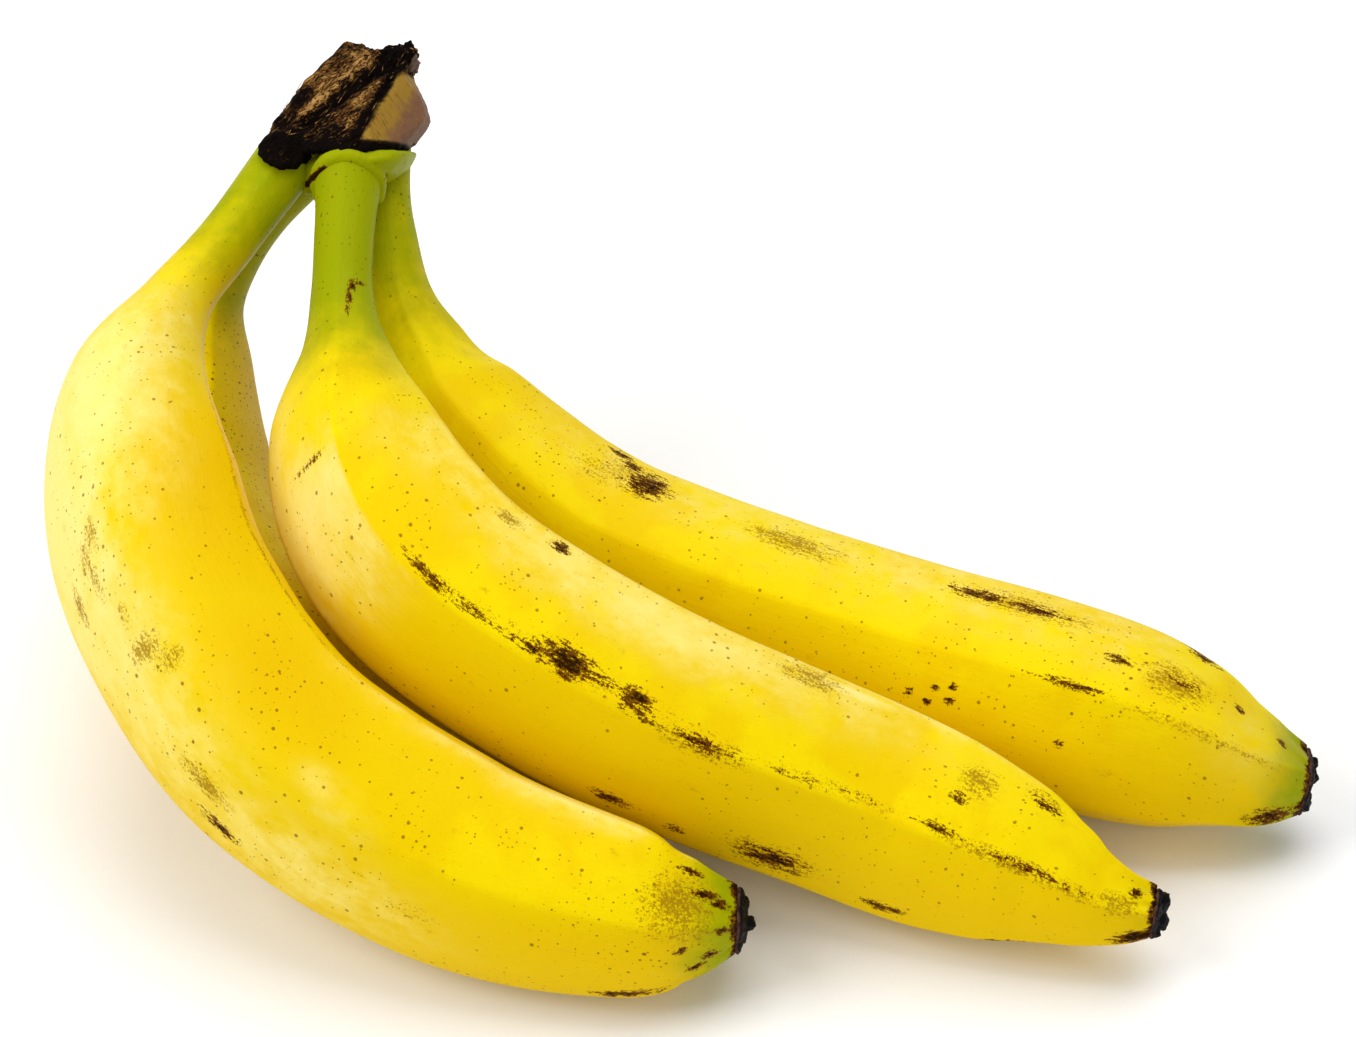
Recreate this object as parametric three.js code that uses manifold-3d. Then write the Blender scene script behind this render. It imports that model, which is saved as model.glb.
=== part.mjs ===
// A hand of four ripe bananas lying on a table, millimetres, +Z up.
// +X runs from the stems' side to the blossom ends on the right, -Y is the side the fruits curve towards.
import * as THREE from 'three';
import { mergeVertices } from 'three/addons/utils/BufferGeometryUtils.js';
import Module from 'manifold-3d';

const wasm = await Module();
wasm.setup();

// Each fruit is a row of stations from stem to blossom end: [x, y, z, radius].
const LEFT = [
  [-68.5, 48.7, 70.6, 5.3],
  [-77.5, 33, 65, 5],
  [-85.1, 19, 61.5, 6.1],
  [-89.6, 2, 57, 11.7],
  [-87.4, -16.5, 51, 16],
  [-80.5, -36, 42.5, 17.3],
  [-63, -57, 29.5, 17.8],
  [-35, -70.6, 18.2, 17],
  [-9, -77.9, 14.3, 13.9],
  [1.5, -79.2, 13.6, 9.7],
  [8.6, -79.3, 13.3, 5.4],
];
const MIDDLE = [
  [-57, 43.7, 71.6, 6.2],
  [-57.1, 38.2, 69.3, 5.3],
  [-57.2, 30, 66, 5],
  [-57, 20.5, 62.1, 5.2],
  [-55.8, 9.5, 58.5, 7.2],
  [-53.4, -7.5, 53, 13.9],
  [-46.4, -23, 47, 17.2],
  [-32.8, -36, 40.4, 17.8],
  [-6, -48, 30, 17.7],
  [28.5, -56.6, 18.7, 16.6],
  [41.5, -61.9, 16.2, 15.8],
  [53.5, -67.9, 14.7, 13.2],
  [60, -71.8, 14, 10.3],
  [64.5, -74.2, 13.3, 8.1],
  [69.3, -76.1, 12.9, 6],
  [73.9, -76.9, 12.5, 4.1],
];
const RIGHT = [
  [-51.8, 58.6, 68.8, 4.4],
  [-51.7, 50, 63.7, 4.4],
  [-51, 43, 59.5, 5],
  [-49.7, 34, 52.3, 6.8],
  [-46.5, 26.5, 46.5, 9.5],
  [-40, 15.6, 39, 14.2],
  [-21.5, -1, 29.5, 16.7],
  [-3, -10, 24.5, 17.2],
  [32, -21, 18.1, 17.2],
  [56.5, -31, 17.2, 17.2],
  [72, -37.6, 16.6, 16.6],
  [82.5, -42, 15.7, 14.4],
  [90.5, -44.6, 14, 10.8],
  [95.5, -45.2, 12.6, 8.8],
  [100.9, -45.3, 11.2, 5.8],
];
const BEHIND = [
  [-64.5, 62.5, 62.5, 4.5],
  [-73.6, 54.2, 57, 4.6],
  [-80.3, 50.4, 49.6, 5.6],
  [-85.3, 45.8, 43, 8.2],
  [-87.6, 39.3, 35, 11.8],
  [-88.2, 27.8, 26, 15],
  [-85, 13.6, 18.8, 15.8],
  [-76, -5, 15.5, 15.6],
  [-63.5, -21.5, 14.5, 14.8],
  [-49.5, -32.5, 12.5, 12.4],
  [-36, -38, 11, 9.8],
  [-24.5, -40, 9, 7.4],
  [-17, -41, 8, 4.8],
];

const RINGS_PER_STATION = 3;
const RIDGES = 5;
const STEPS_PER_FACE = 6;
const STEM_RIDGE = 0.25; // 0 is a round section and 1 a sharp-edged pentagon
const BODY_RIDGE = 0.62;
const STEM_WIDEST = 6.3; // the first station with a larger radius is in the neck
const SPINE_STEP = 0.05; // of a station, for the spine's direction
const RIDGE_RADIUS = 1.045; // the ridges stand this much outside the station's radius
const SIDE_TILT = 38; // degrees above level in which one ridge of each fruit points
const SIDE = new THREE.Vector3(
  0,
  -Math.cos(THREE.MathUtils.degToRad(SIDE_TILT)),
  Math.sin(THREE.MathUtils.degToRad(SIDE_TILT)),
);

const JOINT_GAP = 0.3;
const FLOOR_BITE = 0.5; // how deep a belly is pressed flat where it meets the table

// The woody crown and the green collar under it, as levels up the crown's front:
// [height, left, right, front, back], the last two measured from a middle that leans back as it rises.
const CROWN_BASE = new THREE.Vector3(0, 51, 68);
const CROWN_LEAN = 0.55;
const CROWN_LEVELS = [
  [3.2, -72, -48, 15.2, 12.2],
  [4.8, -72.3, -46.6, 15.4, 12.8],
  [7, -71.2, -44.8, 15, 13],
  [9.4, -70, -43.8, 14, 13],
  [12.4, -68, -44.7, 12.6, 12.6],
  [15.6, -65.8, -46.5, 11.4, 11.4],
  [18.6, -63.8, -47.8, 9.6, 9.6],
  [21.2, -61.5, -46.4, 7.4, 7.4],
  [23.4, -59.2, -47.6, 5, 5],
];
const COLLAR_LEVELS = [
  [-2.8, -60.6, -51.4, 8, 7.5],
  [-1.4, -62.6, -49.2, 11.8, 10],
  [0.5, -63, -47.4, 13.8, 11.4],
  [2.9, -62.6, -46.4, 13.2, 11.6],
];
const SEAM_TILT = 0.08; // the seam between the two falls this much for each millimetre towards the front
const BLOCK_STEPS = 44;
const BOXINESS = 0.7; // 1 is an ellipse, less is squarer
const GRAIN = 0.35; // mm depth of the crown's torn fibres
const TORN_TOP = 1.4; // mm, from the highest to the lowest point of the crown's ragged top
const TOP_DIP = 2.2; // mm, how far the top sags between its left and right corners
const TORN_SEED = 900; // picks the ragged top's unevenness
// The crown's left corner reaches down over the left stem as a thin tongue.
const TONGUE_PLACE = [-68.3, 2.4, 7];
const TONGUE_SIZE = [4.3, 3.7, 9];
const TONGUE_OUT = 1.5; // mm outside the stem's skin
const TONGUE_STEPS = 12;
// The knife's two faces, each a point on it and the way it looks: [to the right, up, towards the front].
const CUT_LEFT = [
  [-62, 12, 2],
  [-0.3, 0.6, 0.66],
];
const CUT_RIGHT = [
  [-49, 10, 4.2],
  [0.62, 0.45, 0.64],
];
const CUT_SIZE = 120;
const TABLE_SIZE = 400;

// Dried flower: a dark collar and a low cone, [share of its length, share of the fruit's radius].
const END_STEPS = 20;
const END_PROFILE = [
  [0, 0.95],
  [0.14, 1.0],
  [0.34, 0.86],
  [0.52, 0.6],
  [0.62, 0.4],
];
const END_ROUGH = 0.14; // unevenness of its outer levels, as a share of the radius

// Value between the numbers of a row at t, by a Catmull-Rom curve.
function between(row, t) {
  const last = row.length - 1;
  const i = Math.min(Math.floor(t), last - 1);
  const f = t - i;
  const p1 = row[i];
  const p2 = row[i + 1];
  const p0 = i > 0 ? row[i - 1] : 2 * p1 - p2;
  const p3 = i + 2 <= last ? row[i + 2] : 2 * p2 - p1;
  const bend = (2 * p0 - 5 * p1 + 4 * p2 - p3) * f * f + (3 * p1 - p0 - 3 * p2 + p3) * f * f * f;
  return 0.5 * (2 * p1 + (p2 - p0) * f + bend);
}

// Repeatable number from 0 to 1 for a whole number.
function chance(n) {
  const s = Math.sin(n * 127.1 + 11.7) * 43758.5453;
  return s - Math.floor(s);
}

// Closed solid from rings of points that follow each other, each end closed by a fan.
function loft(rings) {
  const steps = rings[0].length;
  const points = rings.flat();
  const faces = [];
  for (let r = 0; r + 1 < rings.length; r++) {
    for (let k = 0; k < steps; k++) {
      const a = r * steps + k;
      const b = r * steps + ((k + 1) % steps);
      faces.push(a, b, b + steps, a, b + steps, a + steps);
    }
  }
  closeEnd(points, faces, rings[0], 0, true);
  closeEnd(points, faces, rings.at(-1), (rings.length - 1) * steps, false);
  return solidFrom(points, faces);
}

function closeEnd(points, faces, ring, offset, first) {
  const middle = ring.reduce((sum, p) => sum.add(p), new THREE.Vector3()).divideScalar(ring.length);
  const centre = points.push(middle) - 1;
  ring.forEach((_, k) => {
    const a = offset + k;
    const b = offset + ((k + 1) % ring.length);
    faces.push(...(first ? [centre, b, a] : [centre, a, b]));
  });
}

function solidFrom(points, faces) {
  const vertProperties = new Float32Array(points.flatMap((p) => p.toArray()));
  const triVerts = new Uint32Array(faces);
  return new wasm.Manifold(new wasm.Mesh({ numProp: 3, vertProperties, triVerts }));
}

// Solid of a three.js primitive, moved by a matrix.
function solidOf(geometry, matrix) {
  const moved = geometry.clone().applyMatrix4(matrix);
  moved.deleteAttribute('normal');
  moved.deleteAttribute('uv');
  const merged = mergeVertices(moved, 1e-4);
  const vertProperties = new Float32Array(merged.attributes.position.array);
  const triVerts = new Uint32Array(merged.index.array);
  return new wasm.Manifold(new wasm.Mesh({ numProp: 3, vertProperties, triVerts }));
}

// The spine's place, direction and section axes at t, counted in stations.
function frameAt(stations, t, roll) {
  const place = (u) =>
    new THREE.Vector3(...[0, 1, 2].map((axis) => between(stations.map((s) => s[axis]), u)));
  const low = Math.max(t - SPINE_STEP, 0);
  const high = Math.min(t + SPINE_STEP, stations.length - 1);
  const along = place(high).sub(place(low)).normalize();
  const ridge = SIDE.clone().addScaledVector(along, -SIDE.dot(along)).normalize();
  ridge.applyAxisAngle(along, THREE.MathUtils.degToRad(roll));
  const across = along.clone().cross(ridge);
  const radius = between(stations.map((s) => s[3]), t);
  return { middle: place(t), along, ridge, across, radius };
}

// Distance to the edge of a rounded pentagon of radius 1, with a ridge at angle 0.
function pentagon(angle, sharpness) {
  const face = (2 * Math.PI) / RIDGES;
  const turn = ((angle % face) + face) % face;
  const flat = Math.cos(face / 2) / Math.cos(turn - face / 2);
  return 1 + (flat - 1) * sharpness;
}

function sectionRing(frame, sharpness, grow) {
  const steps = RIDGES * STEPS_PER_FACE;
  return Array.from({ length: steps }, (_, k) => {
    const angle = (2 * Math.PI * k) / steps;
    const reach = frame.radius * RIDGE_RADIUS * pentagon(angle, sharpness) + grow;
    return frame.middle
      .clone()
      .addScaledVector(frame.ridge, reach * Math.cos(angle))
      .addScaledVector(frame.across, reach * Math.sin(angle));
  });
}

// The two stations between which the stem's section turns into the body's.
function neck(stations) {
  const start = stations.findIndex(([, , , radius]) => radius > STEM_WIDEST) - 1;
  return [start, start + 2];
}

// Stem and fruit in one skin. `grow` widens it all round, for the sockets in the crown.
function fruit(stations, roll, grow = 0) {
  const last = stations.length - 1;
  const count = last * RINGS_PER_STATION;
  const rings = [];
  for (let i = 0; i <= count; i++) {
    const t = i / RINGS_PER_STATION;
    const body = THREE.MathUtils.smoothstep(t, ...neck(stations));
    const sharpness = THREE.MathUtils.lerp(STEM_RIDGE, BODY_RIDGE, body);
    rings.push(sectionRing(frameAt(stations, t, roll), sharpness, grow));
  }
  const back = frameAt(stations, 0, roll).along.multiplyScalar(-grow);
  rings[0].forEach((point) => point.add(back));
  return loft(rings);
}

// Everything below the table top is cut away, so each belly has a flat spot.
function restOnTable(solid) {
  const ground = solidOf(
    new THREE.BoxGeometry(TABLE_SIZE, TABLE_SIZE, TABLE_SIZE),
    new THREE.Matrix4().makeTranslation(0, 0, -TABLE_SIZE / 2),
  );
  return sink(solid).subtract(ground);
}

function sink(solid) {
  return solid.translate([0, 0, -FLOOR_BITE]);
}

// A point beside the end of a fruit: share of its radius outwards at an angle, and mm past the end.
function besideEnd(end, share, angle, past) {
  const out = end.radius * RIDGE_RADIUS * share;
  return end.middle
    .clone()
    .addScaledVector(end.along, past)
    .addScaledVector(end.ridge, out * Math.cos(angle))
    .addScaledVector(end.across, out * Math.sin(angle));
}

// Dried flower stump at the end of a fruit, its outer levels uneven, with torn knobs on it.
function blossomEnd(stations, roll, length, knobs) {
  const end = frameAt(stations, stations.length - 1, roll);
  const rings = END_PROFILE.map(([share, width], row) =>
    Array.from({ length: END_STEPS }, (_, k) => {
      const angle = (2 * Math.PI * k) / END_STEPS;
      const rough = row < 2 ? 1 : 1 + END_ROUGH * (chance(END_STEPS * row + k + length) - 0.5);
      const out = width * rough * pentagon(angle, BODY_RIDGE);
      return besideEnd(end, out, angle, JOINT_GAP + length * share);
    }),
  );
  return knobs.reduce((stump, knob) => stump.add(endKnob(end, length, ...knob)), loft(rings));
}

// One torn knob: share of the radius outwards, degrees round, its size, and its share along the stump.
function endKnob(end, length, out, degrees, size, share) {
  const place = besideEnd(end, out, THREE.MathUtils.degToRad(degrees), JOINT_GAP + length * share);
  const turn = new THREE.Quaternion().setFromUnitVectors(new THREE.Vector3(0, 1, 0), end.along);
  const wide = size * end.radius;
  const stretch = new THREE.Vector3(wide, Math.min(wide, length * share), wide);
  return solidOf(new THREE.DodecahedronGeometry(1, 0), new THREE.Matrix4().compose(place, turn, stretch));
}

function onCrown([right, up, front]) {
  return new THREE.Vector3(right, SIDE.z * up, -SIDE.y * up).addScaledVector(SIDE, front);
}

// A body of squarish levels. `rise` moves a point of a level up or down, and `grain` cuts into the sides.
function block(levels, grain, rise) {
  const rings = levels.map(([height, left, right, front, back], row) => {
    const middle = (left + right) / 2;
    return Array.from({ length: BLOCK_STEPS }, (_, k) => {
      const angle = (2 * Math.PI * k) / BLOCK_STEPS;
      const cut = grain * ((k % 2) + chance(k + 50 * row) - 0.5);
      const cos = Math.cos(angle);
      const sin = Math.sin(angle);
      const x = middle + ((right - left) / 2 - cut) * Math.sign(cos) * Math.abs(cos) ** BOXINESS;
      const reach = (sin > 0 ? back : front) - cut;
      const deep = reach * Math.sign(sin) * Math.abs(sin) ** BOXINESS;
      return onCrown([x, height + rise(row, k, deep), -CROWN_LEAN * height - deep]).add(CROWN_BASE);
    });
  });
  return loft(rings);
}

// The woody cushion, ragged on top.
function crownBlock() {
  const sag = (k) => TOP_DIP * Math.sin((2 * Math.PI * k) / BLOCK_STEPS) ** 2;
  const ragged = (k) => TORN_TOP * (chance(k + TORN_SEED) - 0.5) - sag(k);
  return block(CROWN_LEVELS, GRAIN, (row, k, deep) => {
    if (row === 0) {
      return SEAM_TILT * deep;
    }
    return row < CROWN_LEVELS.length - 1 ? 0 : ragged(k);
  });
}

// The green cushion in which the stems grow together.
function collarBlock() {
  const top = COLLAR_LEVELS.length - 1;
  return block(COLLAR_LEVELS, 0, (row, k, deep) => (row < top ? 0 : SEAM_TILT * deep));
}

// A rounded patch of a sleeve round the left stem.
function tongue([, stations, roll]) {
  const [right, up, front] = TONGUE_SIZE.map((size, axis) =>
    onCrown([0, 1, 2].map((other) => (other === axis ? size : 0))),
  );
  const place = onCrown(TONGUE_PLACE).add(CROWN_BASE);
  const patch = solidOf(
    new THREE.SphereGeometry(1, 2 * TONGUE_STEPS, TONGUE_STEPS),
    new THREE.Matrix4().makeBasis(right, up, front).setPosition(place),
  );
  return patch.intersect(fruit(stations, roll, TONGUE_OUT));
}

// A knife cut over the crown's front. Both rows are [to the right, up the front, towards the front].
function crownCut(point, facing) {
  const place = onCrown(point).add(CROWN_BASE);
  const normal = onCrown(facing).normalize();
  const turn = new THREE.Quaternion().setFromUnitVectors(new THREE.Vector3(0, 0, 1), normal);
  return solidOf(
    new THREE.BoxGeometry(CUT_SIZE, CUT_SIZE, CUT_SIZE),
    new THREE.Matrix4().compose(
      place.addScaledVector(normal, CUT_SIZE / 2),
      turn,
      new THREE.Vector3(1, 1, 1),
    ),
  );
}

function addMesh(group, name, solid, look) {
  const made = solid.getMesh();
  const geometry = new THREE.BufferGeometry();
  geometry.setAttribute('position', new THREE.BufferAttribute(made.vertProperties, 3));
  geometry.setIndex(new THREE.BufferAttribute(made.triVerts, 1));
  geometry.computeVertexNormals();
  const mesh = new THREE.Mesh(geometry, new THREE.MeshStandardMaterial(look));
  mesh.name = name;
  mesh.material.name = look.name;
  group.add(mesh);
}

const PEEL = { name: 'peel', color: 0xf2cf1d, roughness: 0.55, metalness: 0 };
const WOOD = { name: 'crown_wood', color: 0x4a3220, roughness: 0.9, metalness: 0 };
const STUMP = { name: 'blossom_stump', color: 0x1e1410, roughness: 0.85, metalness: 0 };

// name, stations, degrees its ridge is turned from SIDE, length of the blossom end, and its knobs
const FRUITS = [
  ['left', LEFT, 5, 2.2, [[0.12, 60, 0.24, 0.8], [0.4, -80, 0.34, 0.42], [0.42, 100, 0.36, 0.4]]],
  ['middle', MIDDLE, 3, 1.8, [[0.45, -90, 0.42, 0.68], [0.3, 70, 0.42, 0.72], [0.76, 100, 0.22, 0.5]]],
  ['right', RIGHT, -15, 2.1, [[0.6, -70, 0.22, 0.6], [0.26, -50, 0.28, 0.66], [0.46, 85, 0.38, 0.56]]],
  ['behind', BEHIND, -29, 2.1, [[0.35, -60, 0.36, 0.68], [0.35, 120, 0.36, 0.68]]],
];

const bunch = new THREE.Group();
bunch.name = 'banana_bunch';

let crown = crownBlock().subtract(crownCut(...CUT_LEFT)).subtract(crownCut(...CUT_RIGHT));
crown = crown.add(tongue(FRUITS[0]));
let collar = collarBlock().subtract(crown.translate(onCrown([0, -JOINT_GAP, 0]).toArray()));
for (const [name, stations, roll, endLength, knobs] of FRUITS) {
  const socket = fruit(stations, roll, JOINT_GAP);
  crown = crown.subtract(socket);
  collar = collar.subtract(socket);
  addMesh(bunch, `banana_${name}`, restOnTable(fruit(stations, roll)), PEEL);
  addMesh(bunch, `blossom_end_${name}`, sink(blossomEnd(stations, roll, endLength, knobs)), STUMP);
}
addMesh(bunch, 'crown', sink(crown), WOOD);
addMesh(bunch, 'stem_collar', sink(collar), PEEL);

// The whole hand is moved so that its box stands over the origin.
const box = new THREE.Box3().setFromObject(bunch);
const middle = box.getCenter(new THREE.Vector3());
bunch.children.forEach((mesh) => mesh.geometry.translate(-middle.x, -middle.y, -box.min.z));

export default bunch;
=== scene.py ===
"""A hand of ripe bananas on a pale table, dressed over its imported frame. Metres, +Z up, table at z = 0."""

import math
import random

import bpy
import numpy as np
from mathutils import Matrix, Vector, noise


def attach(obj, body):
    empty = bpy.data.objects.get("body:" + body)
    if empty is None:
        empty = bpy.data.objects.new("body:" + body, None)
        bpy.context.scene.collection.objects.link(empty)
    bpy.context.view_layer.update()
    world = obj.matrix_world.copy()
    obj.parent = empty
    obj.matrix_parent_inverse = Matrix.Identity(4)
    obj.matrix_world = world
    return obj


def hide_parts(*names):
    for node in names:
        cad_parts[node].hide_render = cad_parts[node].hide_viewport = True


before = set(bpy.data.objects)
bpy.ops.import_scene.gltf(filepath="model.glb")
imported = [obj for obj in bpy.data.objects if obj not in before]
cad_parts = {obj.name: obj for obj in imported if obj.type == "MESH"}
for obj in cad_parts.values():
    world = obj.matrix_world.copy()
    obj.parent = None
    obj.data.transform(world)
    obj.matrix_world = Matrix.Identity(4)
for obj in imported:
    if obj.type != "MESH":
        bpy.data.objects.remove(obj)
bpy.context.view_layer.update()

bl_info = {
    "name": "Hand of Bananas",
    "version": (1, 0, 0),
    "blender": (4, 5, 0),
    "location": "3D View > Sidebar > Bananas",
    "description": "Builds the fruits, the crown, the blossom ends and the table of a hand of ripe bananas",
    "category": "Add Mesh",
}

MM = 0.001
RIDGES = 5
SIDE_TILT = math.radians(38)  # one ridge of each fruit points this far above level, towards -Y
SIDE = np.array([0.0, -math.cos(SIDE_TILT), math.sin(SIDE_TILT)])
UP_FRONT = np.array([0.0, math.sin(SIDE_TILT), math.cos(SIDE_TILT)])
HAND_SHIFT = np.array([-0.229, 5.702, -0.5])  # mm, moves the stations so that the hand stands over the origin

# Stations of each fruit from stem to blossom end, mm: x, y, z, radius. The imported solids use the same.
STATIONS = {
    "left": (
        (-68.5, 48.7, 70.6, 5.3),
        (-77.5, 33, 65, 5),
        (-85.1, 19, 61.5, 6.1),
        (-89.6, 2, 57, 11.7),
        (-87.4, -16.5, 51, 16),
        (-80.5, -36, 42.5, 17.3),
        (-63, -57, 29.5, 17.8),
        (-35, -70.6, 18.2, 17),
        (-9, -77.9, 14.3, 13.9),
        (1.5, -79.2, 13.6, 9.7),
        (8.6, -79.3, 13.3, 5.4),
    ),
    "middle": (
        (-57, 43.7, 71.6, 6.2),
        (-57.1, 38.2, 69.3, 5.3),
        (-57.2, 30, 66, 5),
        (-57, 20.5, 62.1, 5.2),
        (-55.8, 9.5, 58.5, 7.2),
        (-53.4, -7.5, 53, 13.9),
        (-46.4, -23, 47, 17.2),
        (-32.8, -36, 40.4, 17.8),
        (-6, -48, 30, 17.7),
        (28.5, -56.6, 18.7, 16.6),
        (41.5, -61.9, 16.2, 15.8),
        (53.5, -67.9, 14.7, 13.2),
        (60, -71.8, 14, 10.3),
        (64.5, -74.2, 13.3, 8.1),
        (69.3, -76.1, 12.9, 6),
        (73.9, -76.9, 12.5, 4.1),
    ),
    "right": (
        (-51.8, 58.6, 68.8, 4.4),
        (-51.7, 50, 63.7, 4.4),
        (-51, 43, 59.5, 5),
        (-49.7, 34, 52.3, 6.8),
        (-46.5, 26.5, 46.5, 9.5),
        (-40, 15.6, 39, 14.2),
        (-21.5, -1, 29.5, 16.7),
        (-3, -10, 24.5, 17.2),
        (32, -21, 18.1, 17.2),
        (56.5, -31, 17.2, 17.2),
        (72, -37.6, 16.6, 16.6),
        (82.5, -42, 15.7, 14.4),
        (90.5, -44.6, 14, 10.8),
        (95.5, -45.2, 12.6, 8.8),
        (100.9, -45.3, 11.2, 5.8),
    ),
    "behind": (
        (-64.5, 62.5, 62.5, 4.5),
        (-73.6, 54.2, 57, 4.6),
        (-80.3, 50.4, 49.6, 5.6),
        (-85.3, 45.8, 43, 8.2),
        (-87.6, 39.3, 35, 11.8),
        (-88.2, 27.8, 26, 15),
        (-85, 13.6, 18.8, 15.8),
        (-76, -5, 15.5, 15.6),
        (-63.5, -21.5, 14.5, 14.8),
        (-49.5, -32.5, 12.5, 12.4),
        (-36, -38, 11, 9.8),
        (-24.5, -40, 9, 7.4),
        (-17, -41, 8, 4.8),
    ),
}
STEM_WIDEST = 6.3  # mm; the first station with a larger radius is in the neck
STEM_RIDGE = 0.25  # 0 is a round section and 1 a sharp-edged pentagon
BODY_RIDGE = 0.62
RIDGE_RADIUS = 1.045  # the ridges stand this much outside the station's radius
RIDGE_SOFTNESS = {"left": 0.13, "middle": 0.04, "right": 0.06, "behind": 0.08}
ROLL = {"left": 5, "middle": 3, "right": -15, "behind": -29}  # degrees a fruit's ridge is turned from SIDE
# Where the green of a stem starts to fade and ends, mm along the fruit, and how strong it is.
GREEN = {"left": (3, 52, 0.85), "middle": (20, 64, 1.0), "right": (12, 66, 0.8), "behind": (18, 56, 0.8)}
# Where the painted sheen starts, mm along the fruit, and how strong it is: peel facing the lights is painted
# paler.
PAINTED_SHEEN = {"left": (38, 1.0), "middle": (52, 0.9), "right": (54, 0.45), "behind": (50, 0.0)}
PAINTED_SHEEN_FADE = 18  # mm over which the painted sheen comes in
FRECKLE_BASE = 0.22  # how freckled the peel is where no mark says more
TIP_GREEN = {"left": 0.9, "middle": 0.35, "right": 0.9, "behind": 0.4}
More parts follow.
